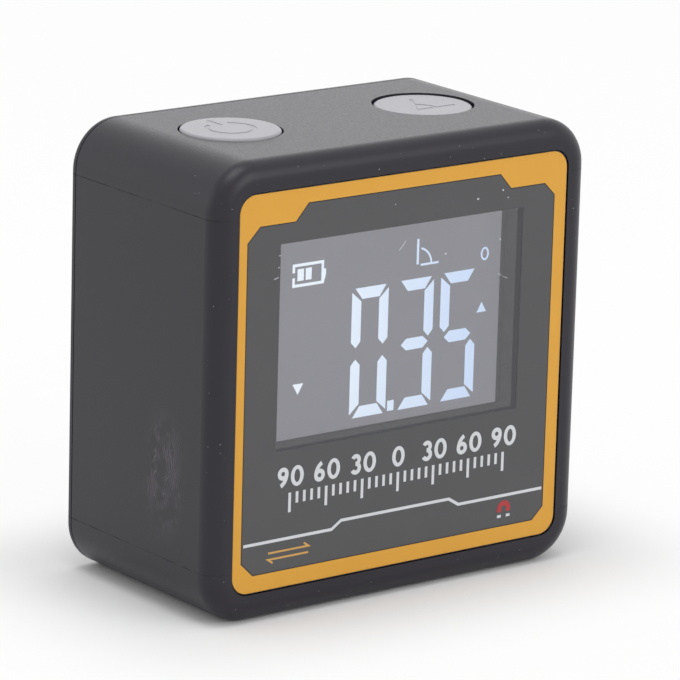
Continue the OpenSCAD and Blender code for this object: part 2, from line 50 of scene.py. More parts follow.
def add(tree, kind, links=None, **settings):  # one node with its settings and links
    made = tree.nodes.new(kind)
    for key, value in settings.items():
        setattr(made, key, value)
    for key, value in (links or {}).items():
        if isinstance(value, bpy.types.NodeSocket):
            tree.links.new(value, made.inputs[key])
        else:
            made.inputs[key].default_value = value
    return made


def tone(hexText):  # sRGB hex to linear RGBA
    parts = [int(hexText[i:i + 2], 16) / 255 for i in (1, 3, 5)]
    return [c / 12.92 if c <= 0.04045 else ((c + 0.055) / 1.055) ** 2.4 for c in parts] + [1]


def perMetre(size):  # texture scale for a pattern of this size in mm
    return 1 / (size * mm)


def finish(name, tones, patch, grain, bump, rough, **sockets):
    # patch: size of the colour drift in mm, grain: size of the surface relief in mm, bump: its height in mm
    made = bpy.data.materials.new(name)
    made.use_nodes = True
    tree = made.node_tree
    tree.nodes.clear()
    place = add(tree, "ShaderNodeTexCoord").outputs["Object"]
    drift = add(tree, "ShaderNodeTexNoise", {"Vector": place, "Scale": perMetre(patch), "Detail": 4})
    mixed = add(tree, "ShaderNodeMix", {0: drift.outputs[0], 6: tone(tones[0]), 7: tone(tones[1])},
                data_type="RGBA")
    relief = add(tree, "ShaderNodeTexNoise", {"Vector": place, "Scale": perMetre(grain), "Detail": 3})
    gloss = add(tree, "ShaderNodeMapRange", {0: relief.outputs[0], 1: noiseSpan[0], 2: noiseSpan[1],
                                             3: rough[0], 4: rough[1]})
    raised = add(tree, "ShaderNodeBump", {"Height": relief.outputs[0], "Distance": bump * mm, "Strength": 1})
    shader = add(tree, "ShaderNodeBsdfPrincipled", {
        "Base Color": mixed.outputs[2], "Roughness": gloss.outputs[0], "Normal": raised.outputs[0], **sockets})
    add(tree, "ShaderNodeOutputMaterial", {"Surface": shader.outputs[0]})
    return {"material": made, "tree": tree, "place": place, "shader": shader, "colour": mixed.outputs[2],
            "gloss": gloss.outputs[0]}


def plainMesh(carrier):  # an object as a plain mesh, with the object gone
    scene.collection.objects.link(carrier)
    graph = bpy.context.evaluated_depsgraph_get()
    made = bpy.data.meshes.new_from_object(carrier.evaluated_get(graph))
    bpy.data.objects.remove(carrier)
    return made


def flatMesh(loops, thick):  # filled outlines in mm, inner loops become holes
    outline = bpy.data.curves.new("outline", "CURVE")
    outline.dimensions = "2D"
    outline.fill_mode = "BOTH"
    outline.extrude = thick / 2
    for loop in loops:
        line = outline.splines.new("POLY")
        line.points.add(len(loop) - 1)
        for point, (u, v) in zip(line.points, loop):
            point.co = (u, v, 0, 1)
        line.use_cyclic_u = True
    return plainMesh(bpy.data.objects.new("outline", outline))


def windingArea(loop):  # above zero where the loop runs counter-clockwise
    return sum(a[0] * b[1] - b[0] * a[1] for a, b in zip(loop, loop[1:] + loop[:1])) / 2


def joinFlat(shapes, thick):  # overlapping drawings as one clean slab, each shape an outline and its hole or None
    corners, faces, pairs = [], [], []
    for outline, hole in shapes:
        pairs.append((len(faces), len(faces) + 1 if hole else None))
        for loop in (outline, hole or []):
            if loop:
                faces.append(list(range(len(corners), len(corners) + len(loop))))
                corners += [Vector(p) for p in (loop if windingArea(loop) > 0 else loop[::-1])]
    points, _, triangles, _, _, origin = delaunay_2d_cdt(corners, [], faces, 1, 1e-5)
    slab = bmesh.new()
    flat = [slab.verts.new((p.x, p.y, thick / 2)) for p in points]
    for triangle, held in zip(triangles, origin):
        if any(a in held and b not in held for a, b in pairs):
            slab.faces.new([flat[k] for k in triangle])
    bmesh.ops.delete(slab, geom=[v for v in slab.verts if not v.link_faces], context="VERTS")
    lower = bmesh.ops.extrude_face_region(slab, geom=slab.faces[:], use_keep_orig=True)["geom"]
    bmesh.ops.translate(slab, verts=[v for v in lower if isinstance(v, bmesh.types.BMVert)], vec=(0, 0, -thick))
    bmesh.ops.recalc_face_normals(slab, faces=slab.faces[:])
    made = bpy.data.meshes.new("joined")
    slab.to_mesh(made)
    slab.free()
    return made


def onFront(face, thick):  # mm drawing plane to the front: x right, y up, outer side at y = face
    turn = Matrix(((1, 0, 0, 0), (0, 0, -1, face + thick / 2), (0, 1, 0, midZ), (0, 0, 0, 1)))
    return Matrix.Scale(mm, 4) @ turn


def settle(name, mesh, where, material):  # mesh to its place, riding on the case
    mesh.transform(where)
    mesh.materials.clear()
    mesh.materials.append(material)
    made = bpy.data.objects.new(name, mesh)
    scene.collection.objects.link(made)
    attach(made, "case")


def arc(x, y, r, start, end, steps=32):  # points on an arc, angles in degrees
    angles = [math.radians(start + (end - start) * i / steps) for i in range(steps + 1)]
    return [(x + r * math.cos(a), y + r * math.sin(a)) for a in angles]


def roundedRect(w, h, r, x=0, y=0):
    corners = ((1, 1, 0), (-1, 1, 90), (-1, -1, 180), (1, -1, 270))
    return [p for sx, sy, a in corners
            for p in arc(x + sx * (w / 2 - r), y + sy * (h / 2 - r), r, a, a + 90, 10)]


def ellipse(x, y, a, b, steps=40):
    return [(x + a * u, y + b * v) for u, v in arc(0, 0, 1, 0, 360 - 360 / steps, steps - 1)]


def rect(x0, y0, x1, y1):
    return [(x0, y0), (x1, y0), (x1, y1), (x0, y1)]


def grow(loop, d):  # loop moved outwards by d, or inwards below zero, mitred at its corners
    side = d if windingArea(loop) > 0 else -d
    made = []
    for i, p in enumerate(loop):
        before = (Vector(p) - Vector(loop[i - 1])).normalized()
        after = (Vector(loop[(i + 1) % len(loop)]) - Vector(p)).normalized()
        mitre = (Vector((before.y, -before.x)) + Vector((after.y, -after.x))) / (1 + before.dot(after))
        made.append(tuple(Vector(p) + side * mitre))
    return made


def stroke(points, width):  # closed loop along an open line
    left, right = [], []
    for i, p in enumerate(points):
        ways = []
        if i:
            ways.append((Vector(p) - Vector(points[i - 1])).normalized())
        if i < len(points) - 1:
            ways.append((Vector(points[i + 1]) - Vector(p)).normalized())
        normal = sum((Vector((-w.y, w.x)) for w in ways), Vector((0, 0)))
        normal = normal / (1 + ways[0].dot(ways[-1])) if len(ways) > 1 else normal
        left.append(tuple(Vector(p) + normal * width / 2))
        right.append(tuple(Vector(p) - normal * width / 2))
    return left + right[::-1]


# Case: ABS, moulded black with a fine spark-eroded grain, so it is matt and greys towards grazing light

caseLook = {
    "plastic": {"tones": ("#13101c", "#181421"), "patch": 14, "grain": 0.22, "bump": 0.005, "rough": (0.3, 0.42)},
    "dust": {"cell": 0.95, "reach": 0.08, "core": 0.4, "rare": (0.42, 0.95), "thins": (-15, -7), "tone": "#b4b4b8"},
    "smudge": {"centre": (-5.6, 18), "half": (5.2, 10.5), "fade": (1, 0.35), "left": -29.5, "ridge": 0.5,
               "warp": 40, "warpScale": 0.3, "patch": 2.2, "cut": (0.4, 0.55), "tone": "#454149"},
    # the near-black tone below is painted shade along the mould's witness lines
    "witnessShadeLine": {"heights": (53.1, 7.1), "width": 0.16, "beyond": 27, "cut": (0.35, 0.6), "share": (0.12, 0.5),
                "tone": "#030304"}}
case = finish("mouldedBlackAbs", **caseLook["plastic"], IOR=1.48)
tree, place = case["tree"], case["place"]
axes = add(tree, "ShaderNodeSeparateXYZ", {0: place}).outputs
# dust flecks: only the few cells whose point lies on the surface and whose random value is high,
# and fewer of them from the front to the back
dust = caseLook["dust"]
cells = add(tree, "ShaderNodeTexVoronoi", {"Vector": place, "Scale": perMetre(dust["cell"])}).outputs
fleck = add(tree, "ShaderNodeMapRange", {0: cells["Distance"], 1: dust["reach"], 2: dust["reach"] * dust["core"],
                                         3: 0, 4: 1})
chance = add(tree, "ShaderNodeSeparateColor", {0: cells["Color"]})
rare = add(tree, "ShaderNodeMapRange", {0: axes[1], 1: dust["thins"][0] * mm, 2: dust["thins"][1] * mm,
                                        3: dust["rare"][0], 4: dust["rare"][1]})
chance = add(tree, "ShaderNodeMapRange", {0: chance.outputs[0], 1: rare.outputs[0], 2: 1, 3: 0, 4: 1})
fleckShare = add(tree, "ShaderNodeMath", {0: fleck.outputs[0], 1: chance.outputs[0]}, operation="MULTIPLY")
# thumb smudge on the left side: ridges inside a soft ellipse
smudge = caseLook["smudge"]
fromCentre = [add(tree, "ShaderNodeMapRange", {0: axis, 1: (centre - half) * mm, 2: (centre + half) * mm, 3: -1, 4: 1},
                  clamp=False) for axis, centre, half in zip(axes[1:], smudge["centre"], smudge["half"])]
offset = add(tree, "ShaderNodeCombineXYZ", {i: made.outputs[0] for i, made in enumerate(fromCentre)})
away = add(tree, "ShaderNodeVectorMath", {0: offset.outputs[0]}, operation="LENGTH")
inside = add(tree, "ShaderNodeMapRange", {0: away.outputs["Value"], 1: smudge["fade"][0], 2: smudge["fade"][1],
                                          3: 0, 4: 1}, interpolation_type="SMOOTHSTEP")
onLeft = add(tree, "ShaderNodeMath", {0: axes[0], 1: smudge["left"] * mm}, operation="LESS_THAN")
waveScale = math.tau * perMetre(smudge["ridge"]) / 20  # a wave texture repeats 20 / tau times at scale 1
ridges = add(tree, "ShaderNodeTexWave", {"Vector": place, "Scale": waveScale, "Distortion": smudge["warp"],
                                         "Detail": 3, "Detail Scale": smudge["warpScale"]}, bands_direction="Y")
patchy = add(tree, "ShaderNodeTexNoise", {"Vector": place, "Scale": perMetre(smudge["patch"]), "Detail": 5})
patches = add(tree, "ShaderNodeMapRange", {0: patchy.outputs[0], 1: smudge["cut"][0], 2: smudge["cut"][1], 3: 0, 4: 1})
smudgeShare = inside
for share in (onLeft.outputs[0], patches.outputs[0], ridges.outputs[1]):
    smudgeShare = add(tree, "ShaderNodeMath", {0: smudgeShare.outputs[0], 1: share}, operation="MULTIPLY")
# witness lines of the mould's side cores: real lines, drawn near-black as painted shade standing in for the shade of a
# fine groove, fading in places
witnessShadeLine = caseLook["witnessShadeLine"]
nearLine = [add(tree, "ShaderNodeMath", {0: axes[2], 1: height * mm, 2: witnessShadeLine["width"] * mm / 2},
                operation="COMPARE") for height in witnessShadeLine["heights"]]
lines = add(tree, "ShaderNodeMath", {i: made.outputs[0] for i, made in enumerate(nearLine)}, operation="MAXIMUM")
sideways = add(tree, "ShaderNodeMath", {0: axes[0]}, operation="ABSOLUTE")
onSide = add(tree, "ShaderNodeMath", {0: sideways.outputs[0], 1: witnessShadeLine["beyond"] * mm}, operation="GREATER_THAN")
witnessFades = add(tree, "ShaderNodeMapRange", {0: patchy.outputs[0], 1: witnessShadeLine["cut"][0], 2: witnessShadeLine["cut"][1],
                                        3: witnessShadeLine["share"][0], 4: witnessShadeLine["share"][1]})
witnessShadeShare = lines
for share in (onSide, witnessFades):
    witnessShadeShare = add(tree, "ShaderNodeMath", {0: witnessShadeShare.outputs[0], 1: share.outputs[0]}, operation="MULTIPLY")
colour = case["colour"]
# the witness lines' near-black tone is painted shade; the smudge and dust tones are real marks
for share, mark in ((witnessShadeShare, witnessShadeLine), (smudgeShare, smudge), (fleckShare, dust)):
    colour = add(tree, "ShaderNodeMix", {0: share.outputs[0], 6: colour, 7: tone(mark["tone"])},
                 data_type="RGBA").outputs[2]
tree.links.new(colour, case["shader"].inputs["Base Color"])
dull = add(tree, "ShaderNodeMix", {0: witnessShadeShare.outputs[0], 2: case["gloss"], 3: 1})  # no shine in the lines
tree.links.new(dull.outputs[0], case["shader"].inputs["Roughness"])
for name in ("body_shell", "back_cover", "battery_door"):
    nodes[name].data.materials[0] = case["material"]
print("case dressed")

# Buttons: ABS, moulded pale grey, satin with slight drift of tone
buttonLook = {"tones": ("#9c9ba1", "#a4a3a9"), "patch": 6, "grain": 0.3, "bump": 0.004, "rough": (0.34, 0.44)}
button = finish("mouldedGreyAbs", **buttonLook, IOR=1.53)["material"]
for name in ("power_button", "zero_button"):
    nodes[name].data.materials[0] = button
print("buttons dressed")

# Front panel: cast acrylic sheet, clear, polished with faint waves, so it mirrors the room over the display
panelLook = {"tones": ("#f4f5f6", "#ffffff"), "patch": 20, "grain": 9, "bump": 0.004, "rough": (0.03, 0.06),
             "IOR": 1.49, "Transmission Weight": 1}
nodes["front_panel"].data.materials[0] = finish("clearAcrylic", **panelLook)["material"]

# Screen-printed inks: a dense satin film with a slight drift in cover
inkLook = {"patch": 5, "grain": 0.35, "bump": 0.003, "rough": (0.3, 0.42), "IOR": 1.5}
inkTones = {"yellow": ("#d99c2c", "#dfa334"), "grey": ("#48484a", "#4e4e50"), "dark": ("#1f1c17", "#26231e"),
            "white": ("#ced0d5", "#d9dbdf"), "gold": ("#c9984c", "#d2a256"), "red": ("#a8282f", "#b53438")}
inks = {name: finish(name + "PanelInk", tones, **inkLook)["material"] for name, tones in inkTones.items()}

panelPrint = {"size": (52.66, 51.96), "corner": 2.4, "shift": -0.05, "window": (-19.97, -7.92, 19.2, 19.13),
              "field": ((22.6, -23.8), (24.34, -22.15), (24.34, 20.18), (22.66, 21.86), (17, 21.86), (15.2, 23.92),
                        (-15.7, 23.96), (-17.66, 21.75), (-23.19, 21.75), (-25.09, 19.83), (-25.03, -21.9),
                        (-23.17, -23.72)),
              "ink": 0.02, "second": 1.8,  # film, and where a second film's face lies, in films
              "keyline": 0.15, "keylineReach": 0.2, "keylineInk": 0.012}  # its film reaches under both colours' edges
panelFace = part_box("front_panel")[0].y / mm
fieldLoop = list(panelPrint["field"])
edge = panelPrint["keyline"] / 2
outer = roundedRect(*panelPrint["size"], panelPrint["corner"], panelPrint["shift"])
window = rect(*panelPrint["window"])
keylineLoops = [grow(fieldLoop, panelPrint["keylineReach"]), grow(fieldLoop, -panelPrint["keylineReach"])]
firstFilm = onFront(panelFace - panelPrint["ink"], panelPrint["ink"])
secondFilm = onFront(panelFace - panelPrint["second"] * panelPrint["ink"], panelPrint["ink"])
keylineFilm = onFront(panelFace - panelPrint["keylineInk"], panelPrint["keylineInk"])


def printOn(name, mesh, ink, film=secondFilm):
    settle(name, mesh, film, inks[ink])


printOn("yellowBorder", flatMesh([outer, grow(fieldLoop, edge)], panelPrint["ink"]), "yellow", firstFilm)
printOn("greyField", flatMesh([grow(fieldLoop, -edge), window], panelPrint["ink"]), "grey", firstFilm)
printOn("fieldKeyline", flatMesh(keylineLoops, panelPrint["keylineInk"]), "dark", keylineFilm)

steppedLine = {"points": ((24.07, -19.62), (10, -19.62), (8.4, -18.64), (-9.25, -18.64), (-10.75, -19.62),
                          (-24.75, -19.62)), "width": 0.4}
printOn("steppedLine", flatMesh([stroke(**steppedLine)], panelPrint["ink"]), "white")

# two plain arrows, one each way
arrowSign = {"ends": (-20.8, -14.4), "rows": (-21.17, -22.02), "head": 0.75, "rise": 0.7, "width": 0.26}
loops = []
for row, (start, end) in zip(arrowSign["rows"], (arrowSign["ends"], arrowSign["ends"][::-1])):
    back = math.copysign(arrowSign["head"], start - end)
    up = math.copysign(arrowSign["head"] * arrowSign["rise"], row - sum(arrowSign["rows"]) / 2)
    loops.append(stroke([(start, row), (end, row), (end + back, row + up)], arrowSign["width"]))
printOn("arrowSign", flatMesh(loops, panelPrint["ink"]), "gold")

# a red bow with white tips
magnetSign = {"x": 17.72, "top": -20.33, "outer": 1.1, "inner": 0.4, "legEnd": -21.86,
              "tips": (-22.24, -22.62), "tipAt": 0.74, "tipHalf": 0.32}
x, wide, narrow, legEnd = (magnetSign[key] for key in ("x", "outer", "inner", "legEnd"))
ring = magnetSign["top"] - wide
bow = arc(x, ring, wide, 0, 180, 20) + [(x - wide, legEnd), (x - narrow, legEnd)]
bow += arc(x, ring, narrow, 180, 0, 16) + [(x + narrow, legEnd), (x + wide, legEnd)]
printOn("magnetBow", flatMesh([bow], panelPrint["ink"]), "red")
tipTop, tipEnd = magnetSign["tips"]
tips = [rect(x + side * magnetSign["tipAt"] - magnetSign["tipHalf"], tipEnd,
             x + side * magnetSign["tipAt"] + magnetSign["tipHalf"], tipTop) for side in (-1, 1)]
printOn("magnetTips", flatMesh(tips, panelPrint["ink"]), "white")

# angle scale: numbers over a row of ticks
scaleText = {"numbers": ("90", "60", "30", "0", "30", "60", "90"), "step": 5.8, "centre": (-0.19, -11.5),
             "high": 2.75, "pitch": 2.25, "line": 0.56, "thin": 0.9,  # thin: share of the line at a 0's ends
             "half": 0.37, "bowl": 0.31, "upper": 0.235, "lower": 0.265, "sweep": 0.642}  # shares of the height


def digitShapes(sign, x, y):  # bold figures drawn with even strokes
    h, line = scaleText["high"], scaleText["line"]
    half, inset, bowl = scaleText["half"] * h, line / 2, scaleText["bowl"] * h
    if sign == "0":
        return [(ellipse(x, y, half, h / 2), ellipse(x, y, half - line, h / 2 - line * scaleText["thin"]))]
    if sign == "3":
        upper, lower = scaleText["upper"] * (h - line), scaleText["lower"] * (h - line)
        return [(stroke(arc(x, y + h / 2 - inset - upper, upper, 155, -95), line), None),
                (stroke(arc(x, y - h / 2 + inset + lower, lower, 95, -155), line), None)]
    turn = 1 if sign == "6" else -1  # 9 is 6 turned round
    ringY = y - turn * (h / 2 - bowl)
    sweep = [(half + (half + bowl - inset) * u, scaleText["sweep"] * h * v) for u, v in arc(0, 0, 1, 183, 115, 16)]
    return [(ellipse(x, ringY, bowl, bowl), ellipse(x, ringY, bowl - line, bowl - line)),
            (stroke([(x + turn * u, ringY + turn * v) for u, v in sweep], line), None)]


shapes = []
for i, number in enumerate(scaleText["numbers"]):
    middle = scaleText["centre"][0] + (i - (len(scaleText["numbers"]) - 1) / 2) * scaleText["step"]
    for k, sign in enumerate(number):
        start = middle + (k - (len(number) - 1) / 2) * scaleText["pitch"]
        shapes += digitShapes(sign, start, scaleText["centre"][1])
printOn("scaleNumbers", joinFlat(shapes, panelPrint["ink"]), "white")

# row of ticks, each fifth one long
scaleTicks = {"Count": 31, "Pitch": 1.16, "Width": 0.42, "Long": 2.6, "Short": 1.5, "Film": panelPrint["ink"],
              "Every": 5}
tickTop = -13.6
tickTree = bpy.data.node_groups.new("scaleTickRow", "GeometryNodeTree")
for name, value in scaleTicks.items():
    kind = "NodeSocketInt" if isinstance(value, int) else "NodeSocketFloat"
    tickTree.interface.new_socket(name, in_out="INPUT", socket_type=kind)
tickTree.interface.new_socket("Ink", in_out="INPUT", socket_type="NodeSocketMaterial")
tickTree.interface.new_socket("Ticks", in_out="OUTPUT", socket_type="NodeSocketGeometry")
given = add(tickTree, "NodeGroupInput").outputs
gapVector = add(tickTree, "ShaderNodeCombineXYZ", {0: given["Pitch"]})
row = add(tickTree, "GeometryNodeMeshLine", {"Count": given["Count"], "Offset": gapVector.outputs[0]})
index = add(tickTree, "GeometryNodeInputIndex").outputs[0]
rest = add(tickTree, "ShaderNodeMath", {0: index, 1: given["Every"]}, operation="MODULO")
minor = add(tickTree, "ShaderNodeMath", {0: rest.outputs[0], 1: 0.5}, operation="GREATER_THAN")
length = add(tickTree, "ShaderNodeMix", {0: minor.outputs[0], 2: given["Long"], 3: given["Short"]})
bar = add(tickTree, "GeometryNodeMeshCube", {"Size": (1, 1, 1)})
hung = add(tickTree, "GeometryNodeTransform", {"Geometry": bar.outputs[0], "Translation": (0, -0.5, 0)})
size = add(tickTree, "ShaderNodeCombineXYZ", {0: given["Width"], 1: length.outputs[0], 2: given["Film"]})
ticks = add(tickTree, "GeometryNodeInstanceOnPoints", {"Points": row.outputs[0], "Instance": hung.outputs[0],
                                                       "Scale": size.outputs[0]})
real = add(tickTree, "GeometryNodeRealizeInstances", {0: ticks.outputs[0]})
inked = add(tickTree, "GeometryNodeSetMaterial", {"Geometry": real.outputs[0], "Material": given["Ink"]})
add(tickTree, "NodeGroupOutput", {0: inked.outputs[0]})
carrier = bpy.data.objects.new("tickCarrier", bpy.data.meshes.new("tickCarrier"))
modifier = carrier.modifiers.new("ticks", "NODES")
modifier.node_group = tickTree
for item in tickTree.interface.items_tree:
    if item.in_out == "INPUT":
        modifier[item.identifier] = inks["white"] if item.name == "Ink" else scaleTicks[item.name]
tickMesh = plainMesh(carrier)
firstTick = scaleText["centre"][0] - (scaleTicks["Count"] - 1) * scaleTicks["Pitch"] / 2
tickMesh.transform(Matrix.Translation((firstTick, tickTop, 0)))
printOn("scaleTicks", tickMesh, "white")

# scuffs on the clear window: cut acrylic scatters light, so they show pale
scuffLook = {"tones": ("#c4c4c8", "#cfcfd3"), "patch": 1, "grain": 0.1, "bump": 0.002, "rough": (0.5, 0.7)}
scuffMarks = (  # three points and the width of each
    ((-1.11, 15.96), (-0.55, 16.5), (-0.05, 17.12), 0.09), ((6.39, 14.53), (6.5, 14.54), (6.65, 14.54), 0.2),
    ((-20.88, 14.73), (-20.54, 14.82), (-20.21, 14.92), 0.1), ((-20.28, 16.17), (-20.2, 16.18), (-20.11, 16.19), 0.12),
    ((-20.19, 17.7), (-20.07, 17.71), (-19.96, 17.72), 0.1), ((15.38, 15.32), (15.47, 15.33), (15.56, 15.34), 0.16),
    ((15.32, 10.73), (15.6, 10.6), (15.87, 10.47), 0.07), ((16.15, 10.29), (16.48, 10.12), (16.85, 9.98), 0.06),
    ((11.42, 21.14), (11.57, 21.15), (11.71, 21.15), 0.22), ((16.47, 20.72), (16.56, 20.73), (16.65, 20.74), 0.14),
    ((15.58, 21.82), (15.69, 21.83), (15.81, 21.83), 0.22), ((-1.98, 22.09), (-1.91, 22.09), (-1.84, 22.1), 0.1))
scuff = finish("scuffedAcrylic", **scuffLook, IOR=1.49)["material"]
scuffMesh = joinFlat([(stroke(points, width), None) for *points, width in scuffMarks], panelPrint["ink"])
settle("windowScuffs", scuffMesh, secondFilm, scuff)
print("panel printed")

# Display: glass cell, dark and smooth, with a lit grey ground and pale segments

glassLook = {"tones": ("#26262a", "#2c2c31"), "patch": 10, "grain": 4, "bump": 0.001, "rough": (0.12, 0.18)}
nodes["lcd_glass"].data.materials[0] = finish("polarisedGlass", **glassLook, IOR=1.52)["material"]
groundLook = {"tones": ("#1c1c1f", "#202024"), "patch": 12, "grain": 6, "bump": 0.0005, "rough": (0.3, 0.3),
              "IOR": 1.5, "Emission Color": tone("#8b8b92"), "Emission Strength": 0.83, "Specular IOR Level": 0.1}
ground = finish("litDisplayGround", **groundLook)["material"]
segmentLook = {"tones": ("#5f6975", "#68727e"), "patch": 12, "grain": 6, "bump": 0.0005, "rough": (0.25, 0.35),
               "IOR": 1.5, "Emission Strength": 0.92, "Specular IOR Level": 0.1}
segment = finish("litDisplaySegment", **segmentLook)
# the light tube under the glass gives whiter light on the left than on the right
segmentGlow = {"ends": (-13, 13), "tones": ("#edf5fd", "#cadcf8")}
tree = segment["tree"]
axes = add(tree, "ShaderNodeSeparateXYZ", {0: segment["place"]}).outputs
across = add(tree, "ShaderNodeMapRange", {0: axes[0], 1: segmentGlow["ends"][0] * mm, 2: segmentGlow["ends"][1] * mm,
                                          3: 0, 4: 1})
glow = add(tree, "ShaderNodeMix", {0: across.outputs[0], 6: tone(segmentGlow["tones"][0]),
                                   7: tone(segmentGlow["tones"][1])}, data_type="RGBA")
tree.links.new(glow.outputs[2], segment["shader"].inputs["Emission Color"])

display = {"ground": (-18.8, -7.92, 18.8, 20.6), "film": 0.02, "digitWidth": 5.9, "digitHeight": 17.25,
           "digitBase": -6.67,
           "digits": ((-5.46, 0, "ABCDEF"), (1.94, 0.04, "ABCDG"), (9.02, 0.13, "ACDFG")),  # start, lift, segments
           "point": (0.74, -6.52, 1.79, -5.15), "arrowUp": ((15.1, 4.68), (16.68, 4.68), (15.9, 6.04)),
           "arrowDown": ((-14.66, -0.76), (-12.98, -0.76), (-13.82, -2.2))}
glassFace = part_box("lcd_glass")[0].y / mm
# outlines of a digit's bars, from its lower left corner
w, h = display["digitWidth"], display["digitHeight"]
m = h / 2
bars = {"A": ((0.5, h), (w - 0.4, h), (w - 1.45, h - 1.5), (1.65, h - 1.5)),
        "F": ((0, h - 0.5), (1.5, h - 1.8), (1.5, m + 1.5), (0.75, m + 0.7), (0, m + 1.5)),
        "E": ((0.75, m - 0.8), (1.5, m - 1.6), (1.5, 1.8), (0, 0.5), (0, m - 1.6)),
        "G": ((0.75, m), (1.6, m + 0.78), (w - 1.6, m + 0.78), (w - 0.75, m), (w - 1.6, m - 0.78), (1.6, m - 0.78))}
bars["D"] = [(x, h - z) for x, z in bars["A"]]
bars["B"] = [(w - x, z) for x, z in bars["F"]]
bars["C"] = [(w - x, z) for x, z in bars["E"]]
lit = [[(x + start, z + lift + display["digitBase"]) for x, z in bars[name]]
       for start, lift, names in display["digits"] for name in names]
lit.append(rect(*display["point"]))

batterySign = {"frame": (-15.1, 12, -10.13, 15.05), "line": 0.38, "break": (13.25, 13.92),
               "nub": (-10.15, 13.17, -9.8, 13.92), "bars": ((-14.31, -13.31), (-13.01, -12.08)),
               "barHeight": (12.8, 14.35)}
b = batterySign["line"] / 2
x0, z0, x1, z1 = batterySign["frame"]
x0, z0, x1, z1 = x0 + b, z0 + b, x1 - b, z1 - b
breakLow, breakHigh = batterySign["break"]
lit.append(stroke([(x0, breakHigh), (x0, z1), (x1, z1), (x1, z0), (x0, z0), (x0, breakLow)], batterySign["line"]))
lit.append(rect(*batterySign["nub"]))
lit += [rect(a, batterySign["barHeight"][0], c, batterySign["barHeight"][1]) for a, c in batterySign["bars"]]

angleSign = {"corner": (5.04, 12.36), "up": (12.48, 15.85), "along": (5.54, 8.47), "arc": 2.25,
             "lines": (0.35, 0.28, 0.26)}
x, z = angleSign["corner"]
lit.append(stroke([(x, end) for end in angleSign["up"]], angleSign["lines"][0]))
lit.append(stroke([(end, z) for end in angleSign["along"]], angleSign["lines"][1]))
lit.append(stroke(arc(x, z, angleSign["arc"], 76, 4), angleSign["lines"][2]))
lit += [display["arrowUp"], display["arrowDown"]]
degree = {"centre": (16.16, 12.5), "half": (0.66, 0.9), "line": 0.26}
lit += [ellipse(*degree["centre"], *[half - inner for half in degree["half"]]) for inner in (0, degree["line"])]
film = display["film"]
onGlass = onFront(glassFace - film, film)
settle("displayGround", flatMesh([rect(*display["ground"])], film), onGlass, ground)
settle("displaySegments", flatMesh(lit, film), onFront(glassFace - 2 * film, film), segment["material"])

# Foam gasket between the panel and the glass, round the opening: its emission is a painted glow, standing in for the
# dim even light it takes from the lit field
gasketPaintedGlowLook = {"tones": ("#27272a", "#2d2d30"), "patch": 2, "grain": 0.25, "bump": 0.02, "rough": (0.75, 0.9),
              # this emission is painted glow on the foam, which is no lamp
              "Emission Color": tone("#5a595f"), "Emission Strength": 0.42, "Specular IOR Level": 0.1}
paintedGlowFoam = finish("foamWithPaintedGlow", **gasketPaintedGlowLook)["material"]
gasket = {"outer": (-19.76, -8.36, 19.76, 19.56), "wall": 0.3, "clear": 0.03}
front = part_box("front_panel")[1].y / mm + gasket["clear"]
deep = glassFace - 2 * film - gasket["clear"] - front
loop = rect(*gasket["outer"])
opening = grow(loop, -gasket["wall"])
settle("displayGasket", flatMesh([loop, opening], deep), onFront(front, deep), paintedGlowFoam)
# unlit edge of the cell beside and below the lit field, in the same painted glow
(x0, z0), _, (x1, z1), _ = opening
a, low, c, _ = display["ground"]
margin = [(x0, z1), (x0, z0), (x1, z0), (x1, z1), (c, z1), (c, low), (a, low), (a, z1)]
settle("displayMargin", flatMesh([margin], film), onGlass, paintedGlowFoam)
print("display lit")

# Inner parts, seen when the door is off or the case is open

